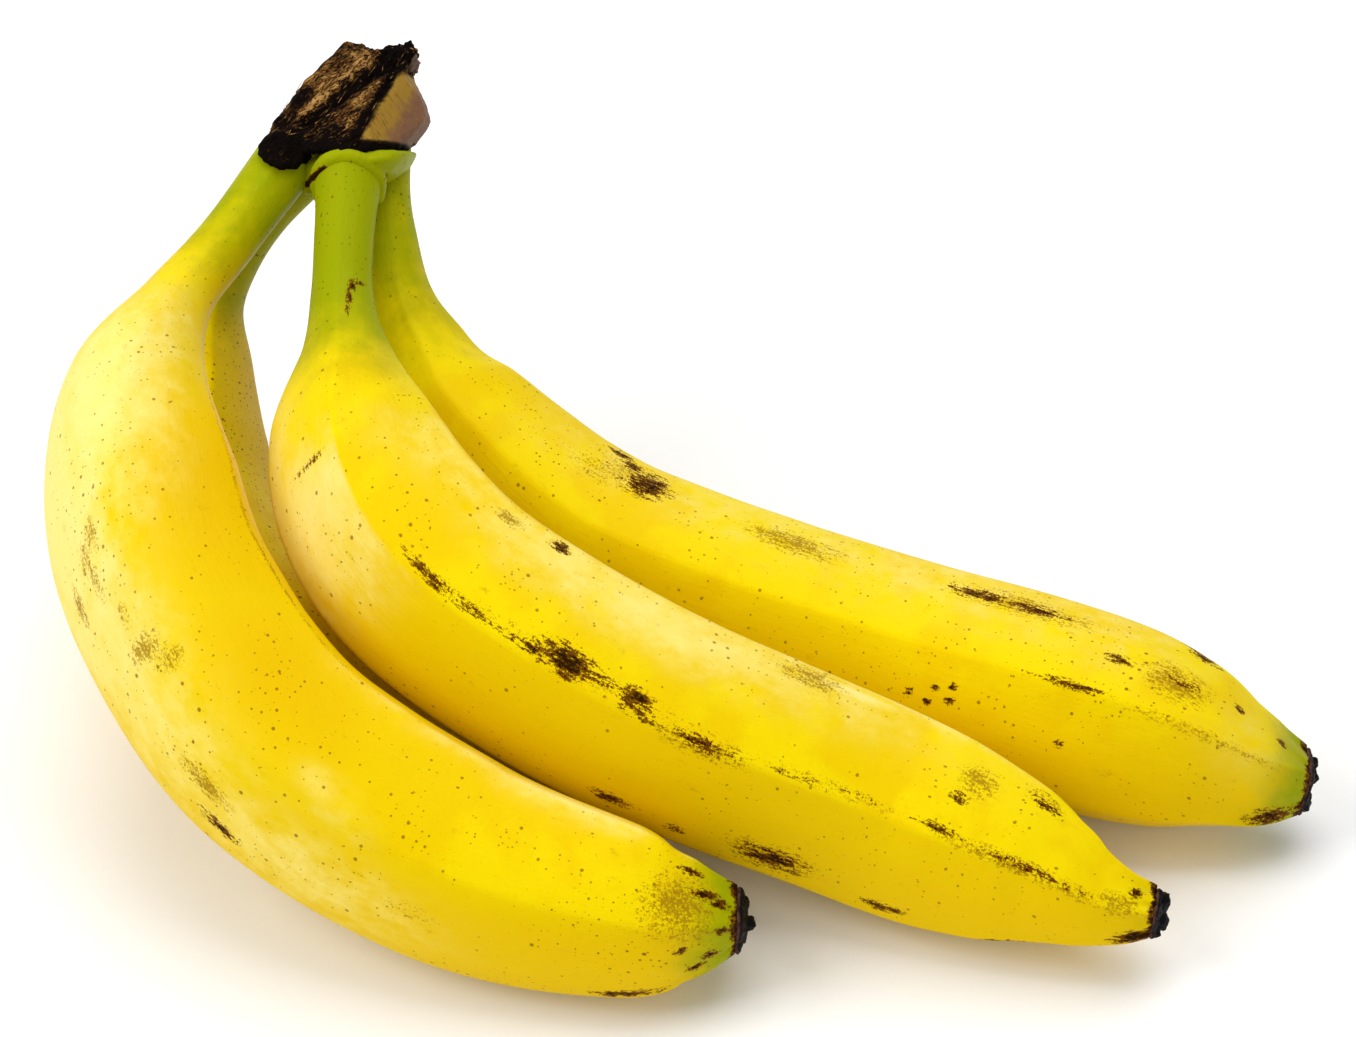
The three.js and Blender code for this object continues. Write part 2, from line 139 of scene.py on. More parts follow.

# What the peel has picked up, with pale marks for painted sheen and gold marks for painted shade: kind, mm
# along the fruit, degrees round it, half length, half width, strength.
MARKS = {
    "left": (
        ("gold", 84, -55, 34, 18, 1.35),
        ("gold", 122, -38, 26, 15, 1.25),
        ("tan", 95, -72, 46, 0.5, 0.8),
        ("freckle", 60, 2, 40, 9, 0.5),
        ("freckle", 130, -20, 60, 14, 0.4),
        ("tan", 124.5, 36, 4.5, 1.8, 1.0),
        ("bruise", 128.5, 54, 3.2, 1.1, 0.7),
        ("tan", 87, 22, 3, 1.6, 0.9),
        ("tan", 89.5, 32, 2.4, 1.4, 0.9),
        ("tan", 93.5, 50, 2.8, 1.3, 1.0),
        ("tan", 92.6, 28, 3.6, 1.2, 0.8),
        ("tan", 99.7, 19, 2.4, 1.6, 0.7),
        ("tan", 105.6, 17, 2.2, 4, 0.9),
        ("tan", 109.5, 5, 2, 3, 0.8),
        ("freckle", 86.5, 33, 12, 6, 0.9),
        ("pale", 137.5, -9, 6, 3, 0.3),
        ("pale", 143, 1, 6, 3, 0.3),
        ("pale", 63.5, 14, 24, 13, 0.85),
        ("pale", 97.5, 38, 34, 12, 0.65),
        ("pale", 137.5, 45, 24, 9, 0.45),
        ("bruise", 189.5, 66, 4, 0.9, 0.8),
        ("bruise", 199.5, -38, 1.8, 0.9, 0.9),
        ("bruise", 201.5, -30, 1.6, 0.8, 0.9),
        ("bruise", 197, -58, 1.8, 0.8, 0.8),
        ("bruise", 202, 4, 1.2, 0.7, 0.8),
        ("bruise", 196, 22, 1.2, 0.7, 0.7),
        ("bruise", 200.5, 38, 1.1, 0.8, 0.9),
        ("bruise", 198.5, 52, 1.1, 0.8, 0.9),
        ("tan", 195.5, -20, 6, 6, 0.95),
        ("freckle", 187.5, 10, 14, 12, 0.8),
        ("tan", 157.5, 30, 7, 3, 0.4),
        ("freckle", 117.5, 25, 22, 9, 0.5),
    ),
    "middle": (
        ("bruise", 88.5, -4, 4.5, 0.7, 0.85),
        ("bruise", 95.5, -4, 4.2, 0.6, 0.78),
        ("bruise", 101.5, -4, 3.6, 0.45, 0.68),
        ("bruise", 106, -5, 2.6, 0.8, 0.85),
        ("bruise", 111.5, -8, 4.4, 2.2, 1.0),
        ("bruise", 117.5, -9, 2.6, 0.6, 0.7),
        ("bruise", 123.2, -8, 2.4, 1.5, 1.0),
        ("bruise", 125.3, -1, 3.2, 0.6, 0.75),
        ("bruise", 134.8, -1, 5.4, 1.1, 0.66),
        ("tan", 134.8, 0, 8, 2.2, 0.9),
        ("tan", 112, -6, 30, 2.4, 0.5),
        ("bruise", 150, -3, 7, 0.4, 0.45),
        ("bruise", 163, -6, 8, 0.4, 0.45),
        ("tan", 158, -5, 18, 1.2, 0.6),
        ("bruise", 178, -6, 3.8, 0.5, 0.95),
        ("tan", 192, -3, 14, 1.4, 1.0),
        ("bruise", 193, -4, 9, 0.5, 0.62),
        ("bruise", 151.5, 56, 5.6, 2.2, 0.8),
        ("tan", 151.5, 56, 8, 3.6, 0.9),
        ("bruise", 125.8, 57, 2.8, 1.0, 0.75),
        ("bruise", 136, 61, 1.6, 0.8, 0.7),
        ("bruise", 172.6, 63, 3.6, 0.9, 0.8),
        ("bruise", 192, 74, 5, 0.7, 0.7),
        ("bruise", 100.5, -66, 1.8, 0.9, 0.85),
        ("tan", 90.8, -62, 3, 1.4, 0.9),
        ("tan", 147, -64, 6, 2.4, 0.9),
        ("pale", 154.8, -66, 8, 0.9, 1.0),
        ("pale", 59.8, 50, 15, 9, 0.2),
        ("pale", 60, 62, 16, 5, 0.5),
        ("pale", 118.8, -60, 45, 7, 0.6),
        ("tan", 180.3, -46, 3.6, 3, 1.0),
        ("tan", 191, -62, 3.6, 1.6, 0.8),
        ("bruise", 178.8, -29, 1.8, 0.9, 0.65),
        ("bruise", 191, -58, 3, 0.8, 0.65),
        ("bruise", 63.5, 24, 0.6, 4.5, 0.55),
        ("bruise", 25.2, -42, 0.5, 1.5, 0.8),
        ("bruise", 26.6, -28, 1.3, 0.7, 0.8),
        ("bruise", 29.4, -20, 2.4, 0.5, 0.8),
        ("bruise", 32.6, -15, 1.9, 0.35, 0.6),
        ("bruise", 210, 56, 2.8, 1.5, 1.0),
        ("bruise", 208.8, -38, 1, 0.8, 0.9),
        ("tan", 206.8, -9, 3, 2, 0.9),
        ("freckle", 71.8, -20, 16, 12, 0.5),
        ("freckle", 158.8, 35, 30, 8, 0.5),
        ("freckle", 8, 0, 26, 12, 0.5),
    ),
    "right": (
        ("freckle", 60, -34, 9, 7, 0.9),
        ("freckle", 78, -27, 15, 6, 1.0),
        ("freckle", 84, -36, 8, 6, 1.0),
        ("tan", 84, -36, 7, 4, 0.5),
        ("tan", 196, 2, 16, 1.2, 0.6),
        ("bruise", 94.6, -48, 4.2, 3.6, 0.86),
        ("bruise", 89.5, -60, 3.2, 1.4, 0.75),
        ("tan", 91, -50, 8, 5, 0.8),
        ("bruise", 85, -66, 3.4, 1, 0.75),
        ("tan", 122, -44, 9, 3, 1.0),
        ("bruise", 156.5, -49, 5.5, 1.6, 0.76),
        ("bruise", 166, -49, 5.5, 1.4, 0.7),
        ("tan", 163, -50, 13, 3, 1.0),
        ("bruise", 182, -28, 2.4, 1.1, 0.65),
        ("bruise", 177, 0, 6.5, 0.7, 0.75),
        ("tan", 191, -28, 5, 4.2, 1.0),
        ("bruise", 192, -30, 2.4, 1, 0.55),
        ("bruise", 193, -69, 2.6, 1.3, 0.7),
        ("bruise", 208, -30, 1, 0.7, 0.9),
        ("bruise", 200, -38, 0.9, 0.7, 0.9),
        ("bruise", 209, 62, 3.2, 1.6, 0.85),
        ("bruise", 191, -72, 1.8, 0.8, 0.8),
        ("bruise", 177.3, 34, 0.9, 0.6, 0.8),
        ("pale", 205, -12, 9, 9, 0.25),
        ("freckle", 178, -10, 26, 12, 0.6),
        ("freckle", 8, -10, 24, 12, 0.5),
        ("bruise", 151, 28, 0.8, 0.7, 0.95),
        ("bruise", 154.6, 31, 0.7, 0.6, 0.95),
        ("bruise", 155.6, 21, 0.7, 0.6, 0.95),
        ("bruise", 158.4, 27, 0.8, 0.7, 0.95),
        ("bruise", 158.6, 18, 0.7, 0.6, 0.95),
    ),
    "behind": (
        ("freckle", 70, -30, 70, 60, 1.0),
        ("tan", 60.9, -30, 40, 16, 0.12),
    ),
}
PEEL_KINDS = 4  # the first four are kept on the mesh; gold, a painted shade, is folded into the shaded attribute
KINDS = ("bruise", "tan", "freckle", "pale", "gold")
# Peel that faces one of these ways, towards the lights, gets a painted sheen, more so the closer it faces it
# beyond the share beside it.
PAINTED_SHEEN_WAYS = ((np.array([-0.86, -0.3, 0.41]), 0.72), (np.array([0.1, 0.3, 0.949]), 0.82))
# Peel turned away from this way is given a painted shade, a deeper gold.
UPWARD = np.array([-0.2, 0.1, 0.975])

# The crown's own axes are to the right, up its front and towards the front. Its front leans back as it rises.
CROWN_BASE = np.array([0.0, 51.0, 68.0])
GRAIN_WAY = (0.66, 0.75)  # the torn fibres run this far to the right for this far up
# Lines on the crown's front, as mm to the right and mm up: the dark crevice, the raised fibres above it with
# a painted highlight where they catch the light, the black edge of the smooth dried skin, and the brown crack
# in the cushion under the crown.
CREVICE = ((-65.1, 7.6), (-59.3, 12.2), (-54.7, 16.0), (-51.3, 18.0))
LIT_RIDGE = ((-65.6, 8.9), (-60.1, 14.3), (-54.7, 20.1))
SKIN_EDGE = ((-56.0, 4.2), (-53.0, 10.5), (-50.6, 14.5), (-49.6, 18.5))
STEM_CRACK = ((-64.4, -3.2), (-62.6, -2.2), (-60.8, -1.2))

# Balls that the cushion grows over, in mm: along that crack, and round the top of the middle stem's front.
SWELLINGS = ((-64.2, -2.9, 4), (-63.4, -1.8, 5.5), (-63.0, -0.6, 6), (-63.2, 0.7, 5), (-64.0, 1.2, 3.5))
SWELLING_RADIUS = 1.7
FOLD_RADIUS = 1.25
FOLD_TURN = 110  # degrees that the fold reaches to each side of the stem's front
CUSHION_VOXEL = 0.0003

# The crumbled stub's lumps: how many, and between which mm to the right, up and to the front they lie.
KNOB_LUMPS = 13
KNOB_REACH = ((-50.2, -46.6), (18.6, 20.9), (-13, -7))
KNOB_VOXEL = 0.00025
KNOB_SEED = 3
STRAND_SEED = 7

# Name, place, point it aims at, side and power of each light.
LIGHTS = (
    ("key", (-0.85, -0.2, 0.75), (0, 0, 0.03), 0.7, 6.4),
    ("overhead", (0.1, 0.35, 1.2), (0, 0, 0.02), 1.2, 12.3),
    ("front_fill", (0.3, -1.2, 0.6), (0, 0, 0.03), 1.0, 4.4),
)
WORLD_LIGHT = 0.3


# ---- sizes and colours a user would change ----


def colour_setting(name, description, default):
    return bpy.props.FloatVectorProperty(
        name=name, description=description, default=default, size=3, min=0.0, max=1.0, subtype="COLOR"
    )


def length_setting(name, description, default):
    return bpy.props.FloatProperty(
        name=name, description=description, default=default, min=0.0, unit="LENGTH", subtype="DISTANCE"
    )


def count_setting(name, description, default):
    return bpy.props.IntProperty(name=name, description=description, default=default, min=1)


class FruitSettings(bpy.types.PropertyGroup):
    around: count_setting("Steps around", "Faces round a fruit", 140)
    along: count_setting("Steps along", "Faces from the stem to the blossom end", 300)
    waviness: length_setting("Waviness", "Depth of the soft dents in the peel", 0.00024)
    crest: length_setting("Crest", "Height of the thin crest on each ridge", 0.00014)
    ripe: colour_setting("Ripe", "Ripe peel", (0.84, 0.635, 0.001))
    # gold is also the painted shade under the fruit, and pale is the colour of the painted sheen
    gold: colour_setting("Gold", "Deeper yellow in broad patches", (0.76, 0.475, 0.0003))
    pale: colour_setting("Pale", "Bleached and rubbed peel", (0.92, 0.77, 0.24))
    green: colour_setting("Green", "Unripe stem and tip", (0.29, 0.33, 0.001))
    tan: colour_setting("Tan", "Light bruising", (0.33, 0.17, 0.004))
    brown: colour_setting("Brown", "Freckles and the fringes of dark bruising", (0.14, 0.036, 0.001))
    black: colour_setting("Black", "Dark bruising", (0.012, 0.004, 0.0006))


class CrownSettings(bpy.types.PropertyGroup):
    voxel: length_setting("Voxel", "Size of the crown's surface grid", 0.0003)
    grain: length_setting("Grain", "Depth of the torn grain", 0.0006)
    fibres: count_setting("Fibres", "Loose fibres on the cut", 170)
    dark: colour_setting("Dark", "Dried blackened wood", (0.004, 0.0016, 0.0008))
    wood: colour_setting("Wood", "Brown wood between the fibres", (0.17, 0.068, 0.012))
    fibre: colour_setting("Fibre", "Dry tan fibre", (0.66, 0.37, 0.11))
    skin: colour_setting("Skin", "Ochre dried skin on the right", (0.31, 0.175, 0.022))
    streak: colour_setting("Streak", "Purple-brown part of the dried skin", (0.19, 0.09, 0.045))


class EndSettings(bpy.types.PropertyGroup):
    voxel: length_setting("Voxel", "Size of the stump's surface grid", 0.00022)
    crust: length_setting("Crust", "Depth of the dried crust", 0.00024)
    black: colour_setting("Black", "Dried flower", (0.0025, 0.0016, 0.0016))
    rim: colour_setting("Rim", "Brown where it meets the peel", (0.16, 0.07, 0.05))


class StageSettings(bpy.types.PropertyGroup):
    lens: bpy.props.FloatProperty(
        name="Lens", description="Focal length in millimetres", default=100.0, min=10.0, unit="CAMERA"
    )
    distance: length_setting("Distance", "From the camera to the point it looks at", 0.64)
    target: bpy.props.FloatVectorProperty(
        name="Target",
        description="Point the camera looks at",
        default=(-0.0006, 0.0062, 0.0297),
        size=3,
        unit="LENGTH",
    )
    floor: colour_setting("Floor", "Table top", (0.96, 0.96, 0.96))
    floor_size: length_setting("Floor size", "Side of the table top", 6.0)


SETTINGS = {
    "banana_fruits": FruitSettings,
    "banana_crown": CrownSettings,
    "banana_ends": EndSettings,
    "banana_stage": StageSettings,
}


# ---- shader maths ----


class Wire:
    """A value in a material. Python's operators on it add Math nodes."""

    def __init__(self, paint, socket):
        self.paint = paint
        self.socket = socket

    def maths(self, operation, *values):
        return self.paint.node("ShaderNodeMath", {"operation": operation}, dict(enumerate(values)))

    def __add__(self, other):
        return self.maths("ADD", self, other)

    def __radd__(self, other):
        return self.maths("ADD", other, self)

    def __sub__(self, other):
        return self.maths("SUBTRACT", self, other)

    def __rsub__(self, other):
        return self.maths("SUBTRACT", other, self)

    def __mul__(self, other):
        return self.maths("MULTIPLY", self, other)

    def __truediv__(self, other):
        return self.maths("DIVIDE", self, other)

    def least(self, other):
        return self.maths("MINIMUM", self, other)

    def most(self, other):
        return self.maths("MAXIMUM", self, other)

    def ramp(self, low, high):
        """0 below low and 1 above high, smooth between."""
        return self.paint.node(
            "ShaderNodeMapRange",
            {"interpolation_type": "SMOOTHSTEP"},
            {"Value": self, "From Min": low, "From Max": high},
        )


class Paint:
    """One material's nodes, round its Principled shader."""

    def __init__(self, name):
        self.material = bpy.data.materials.new(name)
        self.material.use_nodes = True
        self.tree = self.material.node_tree
        self.shader = self.tree.nodes["Principled BSDF"]

    def node(self, kind, settings=None, inputs=None, output=0):
        made = self.tree.nodes.new(kind)
        for key, value in (settings or {}).items():
            setattr(made, key, value)
        for key, value in (inputs or {}).items():
            self.feed(made.inputs[key], value)
        return Wire(self, made.outputs[output])

    def feed(self, socket, value):
        if isinstance(value, Wire):
            self.tree.links.new(value.socket, socket)
        elif socket.type == "RGBA" and len(value) == 3:
            socket.default_value = (*value, 1.0)
        else:
            socket.default_value = value

    def attribute(self, name, output):
        return self.node("ShaderNodeAttribute", {"attribute_name": name}, output=output)

    def stretch(self, vector, scale):
        return self.node("ShaderNodeVectorMath", {"operation": "MULTIPLY"}, {0: vector, 1: scale})

    def noise(self, vector, scale, detail=3.0, roughness=0.55, distortion=0.0):
        return self.node(
            "ShaderNodeTexNoise",
            inputs={
                "Vector": vector,
                "Scale": scale,
                "Detail": detail,
                "Roughness": roughness,
                "Distortion": distortion,
            },
        )

    def channels(self, colour):
        """The three parts of a colour, as values."""
        split = self.node("ShaderNodeSeparateColor", inputs={0: colour})
        return [Wire(self, output) for output in split.socket.node.outputs]

    def cells(self, vector, scale):
        """Distance to the nearest of points scattered over a sheet, and two random values of that point."""
        sheet = {"voronoi_dimensions": "2D"}
        distance = self.node("ShaderNodeTexVoronoi", sheet, {"Vector": vector, "Scale": scale})
        chance, size, _ = self.channels(Wire(self, distance.socket.node.outputs["Color"]))
        return distance, chance, size

    def dots(self, vector, scale, share):
        """Soft-edged round spots, one in each of the share of the cells that have one."""
        distance, chance, size = self.cells(vector, scale)
        radius = size * size * 0.12 + 0.055
        spot = 1.0 - (distance / radius).ramp(0.6, 1.0)
        there = (share - chance).ramp(-0.01, 0.01)
        return spot * there * (0.5 + size * 0.5)

    def mix(self, factor, first, second):
        return self.node("ShaderNodeMix", {"data_type": "RGBA"}, {0: factor, 6: first, 7: second}, output=2)

    def bump(self, height, strength, distance):
        inputs = {"Height": height, "Strength": strength, "Distance": distance}
        return self.node("ShaderNodeBump", inputs=inputs)

    def set(self, **sockets):
        for key, value in sockets.items():
            self.feed(self.shader.inputs[key.replace("_", " ")], value)
        return self.material


def peel_material(look):
    """Waxy yellow peel with a painted sheen and painted shade. The marks come from the fruit's own
    attributes, in a frame that follows the fruit.
    """
    paint = Paint("peel")
    skin = paint.attribute("skin", "Vector")
    unrolled = paint.attribute("unrolled", "Vector")
    bruise, tan, freckle = paint.channels(paint.attribute("stains_and_painted_light", "Color"))
    pale = paint.attribute("stains_and_painted_light", "Alpha")
    unripe = paint.attribute("unripe", "Fac")
    shaded = paint.attribute("shaded", "Fac")

    broad = paint.noise(skin, 0.035, 2.0)
    patch = paint.noise(skin, 0.14, 4.0, 0.6)
    fibre = paint.noise(paint.stretch(skin, (0.1, 1.6, 1.6)), 1.0, 4.0, 0.6)
    hatch = paint.noise(paint.stretch(skin, (0.3, 1.0, 1.0)), 1.5, 7.0, 0.75)
    grit = paint.noise(skin, 2.4, 4.0, 0.75)
    mottle = paint.noise(paint.stretch(skin, (0.7, 1.0, 1.0)), 0.3, 5.0, 0.65)

    # the waxy yellow itself: deeper gold in broad patches and as painted shade underneath, with a painted
    # sheen where the fruit faces the light
    painted_sheen = (pale + ((patch - 0.5) * 0.6 + (mottle - 0.5) * 0.9) * pale.ramp(0.0, 0.3)).ramp(0.0, 1.0)
    kept = 1.0 - painted_sheen * 0.9
    gold_patches_and_shade = ((broad + (patch - 0.5) * 0.5).ramp(0.4, 0.62) * 0.5).most((shaded * 0.74).least(1.0))
    colour = paint.mix(gold_patches_and_shade.most(mottle.ramp(0.54, 0.74) * 0.45) * kept, look.ripe, look.gold)
    colour = paint.mix(painted_sheen * 0.92, colour, look.pale)
    turning = (unripe + ((patch - 0.5) * 0.5 + (mottle - 0.5) * 0.4) * unripe.ramp(0.0, 0.3)).ramp(0.08, 0.95)
    colour = paint.mix(turning, colour, look.green)

    # round freckles of two sizes, thick where the fruit has been handled, and pepper-fine ones between them
    crowd = paint.noise(skin, 0.11, 3.0, 0.6)
    marked = freckle.ramp(0.05, 0.2)
    dots = paint.dots(unrolled, 0.45, marked * (crowd * 3.0 - 1.4 + freckle * 0.4))
    small = paint.dots(unrolled, 0.72, marked * (crowd * 1.8 - 1.0 + freckle * 1.05))
    colour = paint.mix(dots.most(small) * (freckle * 0.35 + 0.6), colour, look.brown)
    pepper = (grit + freckle * 0.05).ramp(0.68, 0.74) * (freckle * 0.6 + tan * 0.5).least(1.0)
    colour = paint.mix(pepper * 0.7, colour, look.tan)

    # tan scuffs, then bruises with a brown fringe and a dead black middle
    specks = (hatch - 0.5) * 2.2 + (grit - 0.5) * 2.6
    tanned = (tan * 0.72 + specks * tan.ramp(0.0, 0.4)).ramp(0.3, 0.72) * 0.85
    scuff = paint.noise(paint.stretch(skin, (0.6, 1.0, 1.0)), 0.5, 7.0, 0.75).ramp(0.58, 0.72)
    tanned = tanned.most(scuff * (specks + 0.5).ramp(0.2, 0.9) * 0.5 * (1.0 - unripe * 0.5))
    colour = paint.mix(tanned, colour, look.tan)
    edge = bruise.ramp(0.03, 0.2)
    torn = bruise * 0.9 + ((hatch - 0.5) * 2.4 + (grit - 0.5) * 1.6) * edge
    colour = paint.mix(torn.ramp(0.26, 0.38) * edge * 0.95, colour, look.brown)
    dead = torn.ramp(0.55, 0.78) * edge
    colour = paint.mix(dead * 0.95, colour, look.black)

    height = fibre * 0.25 + grit * 0.1 + patch * 0.6 - dead * 0.4
    rough = 0.36 + patch * 0.14 + tanned * 0.15 + dead * 0.25
    return paint.set(
        Base_Color=colour,
        Roughness=rough,
        Specular_IOR_Level=0.05,
        Specular_Tint=(1.0, 0.86, 0.25),
        Subsurface_Weight=0.05,
        Subsurface_Radius=(0.004, 0.0022, 0.0004),
        Subsurface_Scale=0.5,
        Normal=paint.bump(height, 0.5, 0.0006),
    )


def crown_material(look):
    """Dried fibre: black hollows and tan grain on the cut, smooth ochre skin on the right."""
    paint = Paint("crown_wood")
    grain = paint.attribute("grain", "Vector")
    smooth, darkened, lit = paint.channels(paint.attribute("regions", "Color"))
    purple = paint.attribute("regions", "Alpha")

    strands = paint.noise(paint.stretch(grain, (0.13, 1.3, 1.3)), 1.0, 7.0, 0.7, 0.4)
    threads = paint.noise(paint.stretch(grain, (0.35, 4.2, 4.2)), 1.0, 5.0, 0.75)
    blotch = paint.noise(grain, 0.3, 4.0, 0.6)
    crumbs = paint.noise(grain, 2.4, 4.0, 0.7)

    # the cut: black hollows, brown wood and pale fibres, broken up along the grain, with a painted highlight
    # on the lit ridge and painted glints on the stub
    bright = strands + (threads - 0.5) * (1.3 + lit * 1.2) + blotch * 0.7 + (crumbs - 0.5) * 0.5
    bright = (bright + lit * 0.16 - darkened * 0.62).ramp(0.6, 1.22)
    cut = paint.mix(bright.ramp(0.08, 0.5), look.dark, look.wood)
    cut = paint.mix(bright.ramp(0.45, 1.0), cut, look.fibre)

    # the dried skin: ochre turning purple-brown to the right, with dark hairs out of the seam
    hairs = paint.noise(paint.stretch(grain, (0.22, 2.2, 2.2)), 1.0, 5.0, 0.7)
    turned = (purple + (blotch - 0.5) * 1.6 + (hairs - 0.5) * 0.9).ramp(0.1, 1.0)
    dry = paint.mix(turned, look.skin, look.streak)
    dry = paint.mix(hairs.ramp(0.56, 0.68) * (0.75 - purple * 0.5), dry, look.dark)
    dry = paint.mix(crumbs.ramp(0.66, 0.72) * 0.5, dry, look.dark)
    dry = paint.mix((darkened * 1.3 + (crumbs - 0.5) * 0.8).ramp(0.1, 0.8), dry, look.dark)
    colour = paint.mix(smooth, cut, dry)
    height = strands * 0.8 + threads * 0.8 + crumbs * 0.5
    return paint.set(
        Base_Color=colour,
        Roughness=0.75 - smooth * 0.3,
        Specular_IOR_Level=0.05,
        Normal=paint.bump(height * (1.0 - smooth * 0.8), 1.0, 0.0007),
    )


def fibre_material(look):
    """Loose dry strands, dark to tan in small random patches."""
    paint = Paint("crown_strands")
    place = paint.node("ShaderNodeTexCoord", output="Object")
    shade = paint.noise(place, 900.0, 2.0)
    colour = paint.mix(shade.ramp(0.3, 0.6), look.dark, look.wood)
    colour = paint.mix(shade.ramp(0.5, 0.75), colour, look.fibre)
    return paint.set(Base_Color=colour, Roughness=0.8, Specular_IOR_Level=0.15)


def stump_material(look):
    """Dried flower crust, black with a little gloss and painted glints as grey flecks, brown at its collar.
    """
    paint = Paint("blossom_stump")
    collar = paint.attribute("collar", "Fac")
    place = paint.node("ShaderNodeTexCoord", output="Object")
    crust = paint.noise(place, 900.0, 5.0, 0.7)
    grain = paint.noise(place, 3200.0, 3.0, 0.6)
    colour = paint.mix((collar + (crust - 0.5) * 0.8).ramp(0.45, 0.9) * 0.85, look.black, look.rim)
    # painted glints: fine grey flecks on the black crust
    colour = paint.mix(grain.ramp(0.7, 0.76) * 0.6, colour, (0.36, 0.32, 0.31))
    return paint.set(
        Base_Color=colour,
        Roughness=0.3 + crust * 0.4,
        Specular_IOR_Level=0.08,
        Normal=paint.bump(crust * 0.7 + grain * 0.3, 0.8, 0.0005),
    )


def floor_material(look):
    paint = Paint("table")
    place = paint.node("ShaderNodeTexCoord", output="Object")
    rough = 0.7 + paint.noise(place, 3.0) * 0.08
    return paint.set(Base_Color=look.floor, Roughness=rough, Specular_IOR_Level=0.2)


# ---- mesh helpers ----


def deselect():
    if bpy.context.object and bpy.context.object.mode != "OBJECT":
        bpy.ops.object.mode_set(mode="OBJECT")
    bpy.ops.object.select_all(action="DESELECT")


def only(piece):
    deselect()
    piece.select_set(True)
    bpy.context.view_layer.objects.active = piece


def named(piece, name):
    piece.name = name
    piece.data.name = name
    return piece


def points_of(mesh):
    flat = np.empty(len(mesh.vertices) * 3)
    mesh.vertices.foreach_get("co", flat)
    return flat.reshape(-1, 3)


def place_points(mesh, points):
    mesh.vertices.foreach_set("co", np.ascontiguousarray(points, dtype=np.float32).ravel())
    mesh.update()


def normals_of(mesh):
    flat = np.empty(len(mesh.vertices) * 3)
    mesh.vertices.foreach_get("normal", flat)
    return flat.reshape(-1, 3)


def store(mesh, name, values, kind):
    """Keeps one value for each point of the mesh under a name."""
    layer = mesh.attributes.new(name, kind, "POINT")
    field = {"FLOAT": "value", "FLOAT_VECTOR": "vector", "FLOAT_COLOR": "color"}[kind]
    layer.data.foreach_set(field, np.ascontiguousarray(values, dtype=np.float32).ravel())


def smooth_step(value, low, high):
    share = np.clip((value - low) / (high - low), 0.0, 1.0)
    return share * share * (3.0 - 2.0 * share)


def rough_at(points, scale, seed=0.0):
    """Repeatable noise from -1 to 1 at each row of points."""
    shift = Vector((seed, seed * 1.7, -seed))
    return np.array([noise.noise(Vector(p * scale) + shift) for p in points])


def finish_piece(piece, material, slot, *nodes):
    piece.data.materials.clear()
    piece.data.materials.append(material)
    only(piece)
    bpy.ops.object.shade_smooth()
    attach(piece, "root")
    if nodes:
        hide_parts(*nodes)
    return piece


def copy_of_node(node, name):
    """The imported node's shape as a new piece, with its loose triangles joined."""
    only(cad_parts[node])
    bpy.ops.object.duplicate()
    piece = named(bpy.context.object, name)
    where = piece.matrix_world.copy()
    piece.parent = None
    piece.matrix_world = where
    piece.hide_render = False
    piece.data.materials.clear()
    bpy.ops.object.mode_set(mode="EDIT")
    bpy.ops.mesh.select_all(action="SELECT")
    bpy.ops.mesh.remove_doubles(threshold=1e-6)
    bpy.ops.mesh.normals_make_consistent(inside=False)
    bpy.ops.object.mode_set(mode="OBJECT")
    return piece


def remesh(piece, voxel):
    only(piece)
    grid = piece.modifiers.new("grid", "REMESH")
    grid.mode = "VOXEL"
    grid.voxel_size = voxel
    bpy.ops.object.modifier_apply(modifier=grid.name)


# ---- fruits ----


def curve_at(rows, t):
    """Catmull-Rom value of the rows at each t, counted in stations."""
    last = len(rows) - 1
    i = np.clip(np.floor(t).astype(int), 0, last - 1)
    f = (t - i)[:, None]
    all_rows = np.vstack([2 * rows[0] - rows[1], rows, 2 * rows[-1] - rows[-2]])
    p0, p1, p2, p3 = (all_rows[i + k] for k in range(4))
    bend = (2 * p0 - 5 * p1 + 4 * p2 - p3) * f**2 + (3 * p1 - p0 - 3 * p2 + p3) * f**3
    return 0.5 * (2 * p1 + (p2 - p0) * f + bend)


def spine_frames(rows, t, roll):
    """Middle, direction, ridge axis, cross axis and radius of the fruit at each t."""
    here = curve_at(rows, t)
    step = 0.05
    ahead = curve_at(rows, np.minimum(t + step, len(rows) - 1))[:, :3]
    behind = curve_at(rows, np.maximum(t - step, 0))[:, :3]
    along = ahead - behind
    along /= np.linalg.norm(along, axis=1)[:, None]
    ridge = SIDE - along * (along @ SIDE)[:, None]
    ridge /= np.linalg.norm(ridge, axis=1)[:, None]
    across = np.cross(along, ridge)
    turn = math.radians(roll)
    return (
        here[:, :3] + HAND_SHIFT,
        along,
        ridge * math.cos(turn) + across * math.sin(turn),
        across * math.cos(turn) - ridge * math.sin(turn),
        here[:, 3],
    )


def pentagon(angle, sharpness, softness):
    """Distance to the edge of a pentagon of radius 1 with a rounded ridge at angle 0."""
    face = 2 * math.pi / RIDGES
    off = np.hypot(np.mod(angle + face / 2, face) - face / 2, softness)
    return (1 + 0.12 * softness) * (1 + (math.cos(face / 2) / np.cos(off - face / 2) - 1) * sharpness)


def crest_at(angle, radius, width):
    """1 on a ridge, falling to 0 a width away from it."""
    face = 2 * math.pi / RIDGES
    off = np.abs(np.mod(angle + face / 2, face) - face / 2) * radius
    return np.exp(-((off / width) ** 2))


